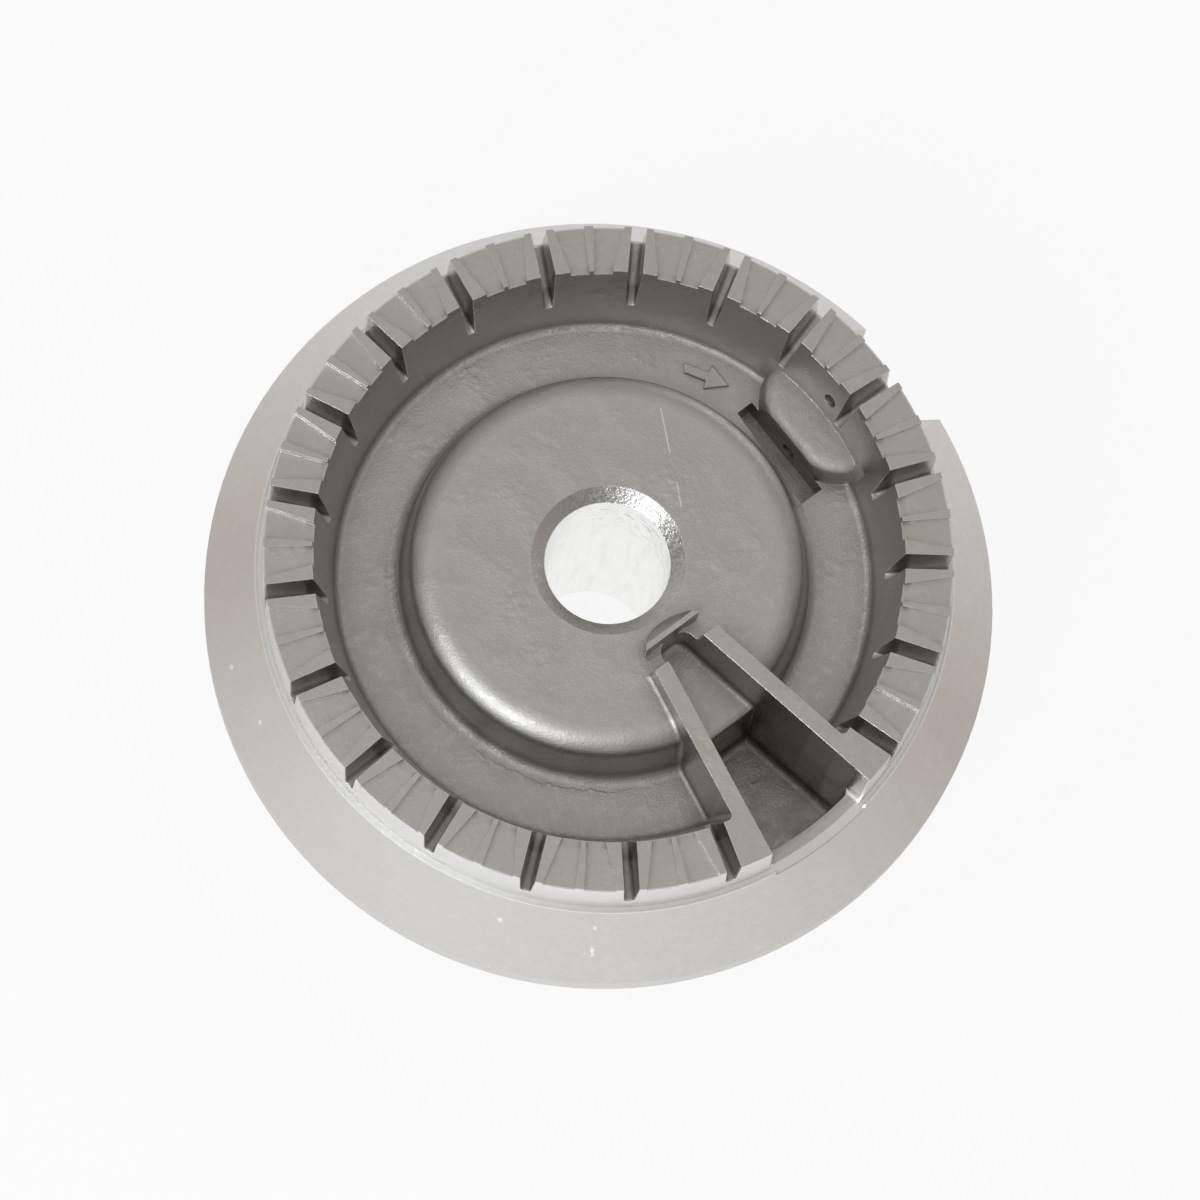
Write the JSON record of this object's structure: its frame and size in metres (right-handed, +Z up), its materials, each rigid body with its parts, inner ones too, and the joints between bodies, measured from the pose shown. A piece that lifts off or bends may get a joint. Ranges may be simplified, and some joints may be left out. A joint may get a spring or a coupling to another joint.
{
  "type": "gas burner head",
  "caption": "Cast gas burner head: ring of slotted flame ports, central mixing tube, sloping skirt with an igniter notch and a stability pocket.",
  "frame": {"origin": "centre of the bore at the lower end of the central tube", "axes": "+Z up along the bore, towards the ring's top; +X towards the igniter notch; -Y towards the pocket"},
  "size_m": [0.0945, 0.095, 0.0426],
  "materials": {
    "cast_aluminium": "bead-blasted casting, turned ring"
  },
  "bodies": {
    "root": {"burner_head": "cast_aluminium"}
  },
  "joints": []
}
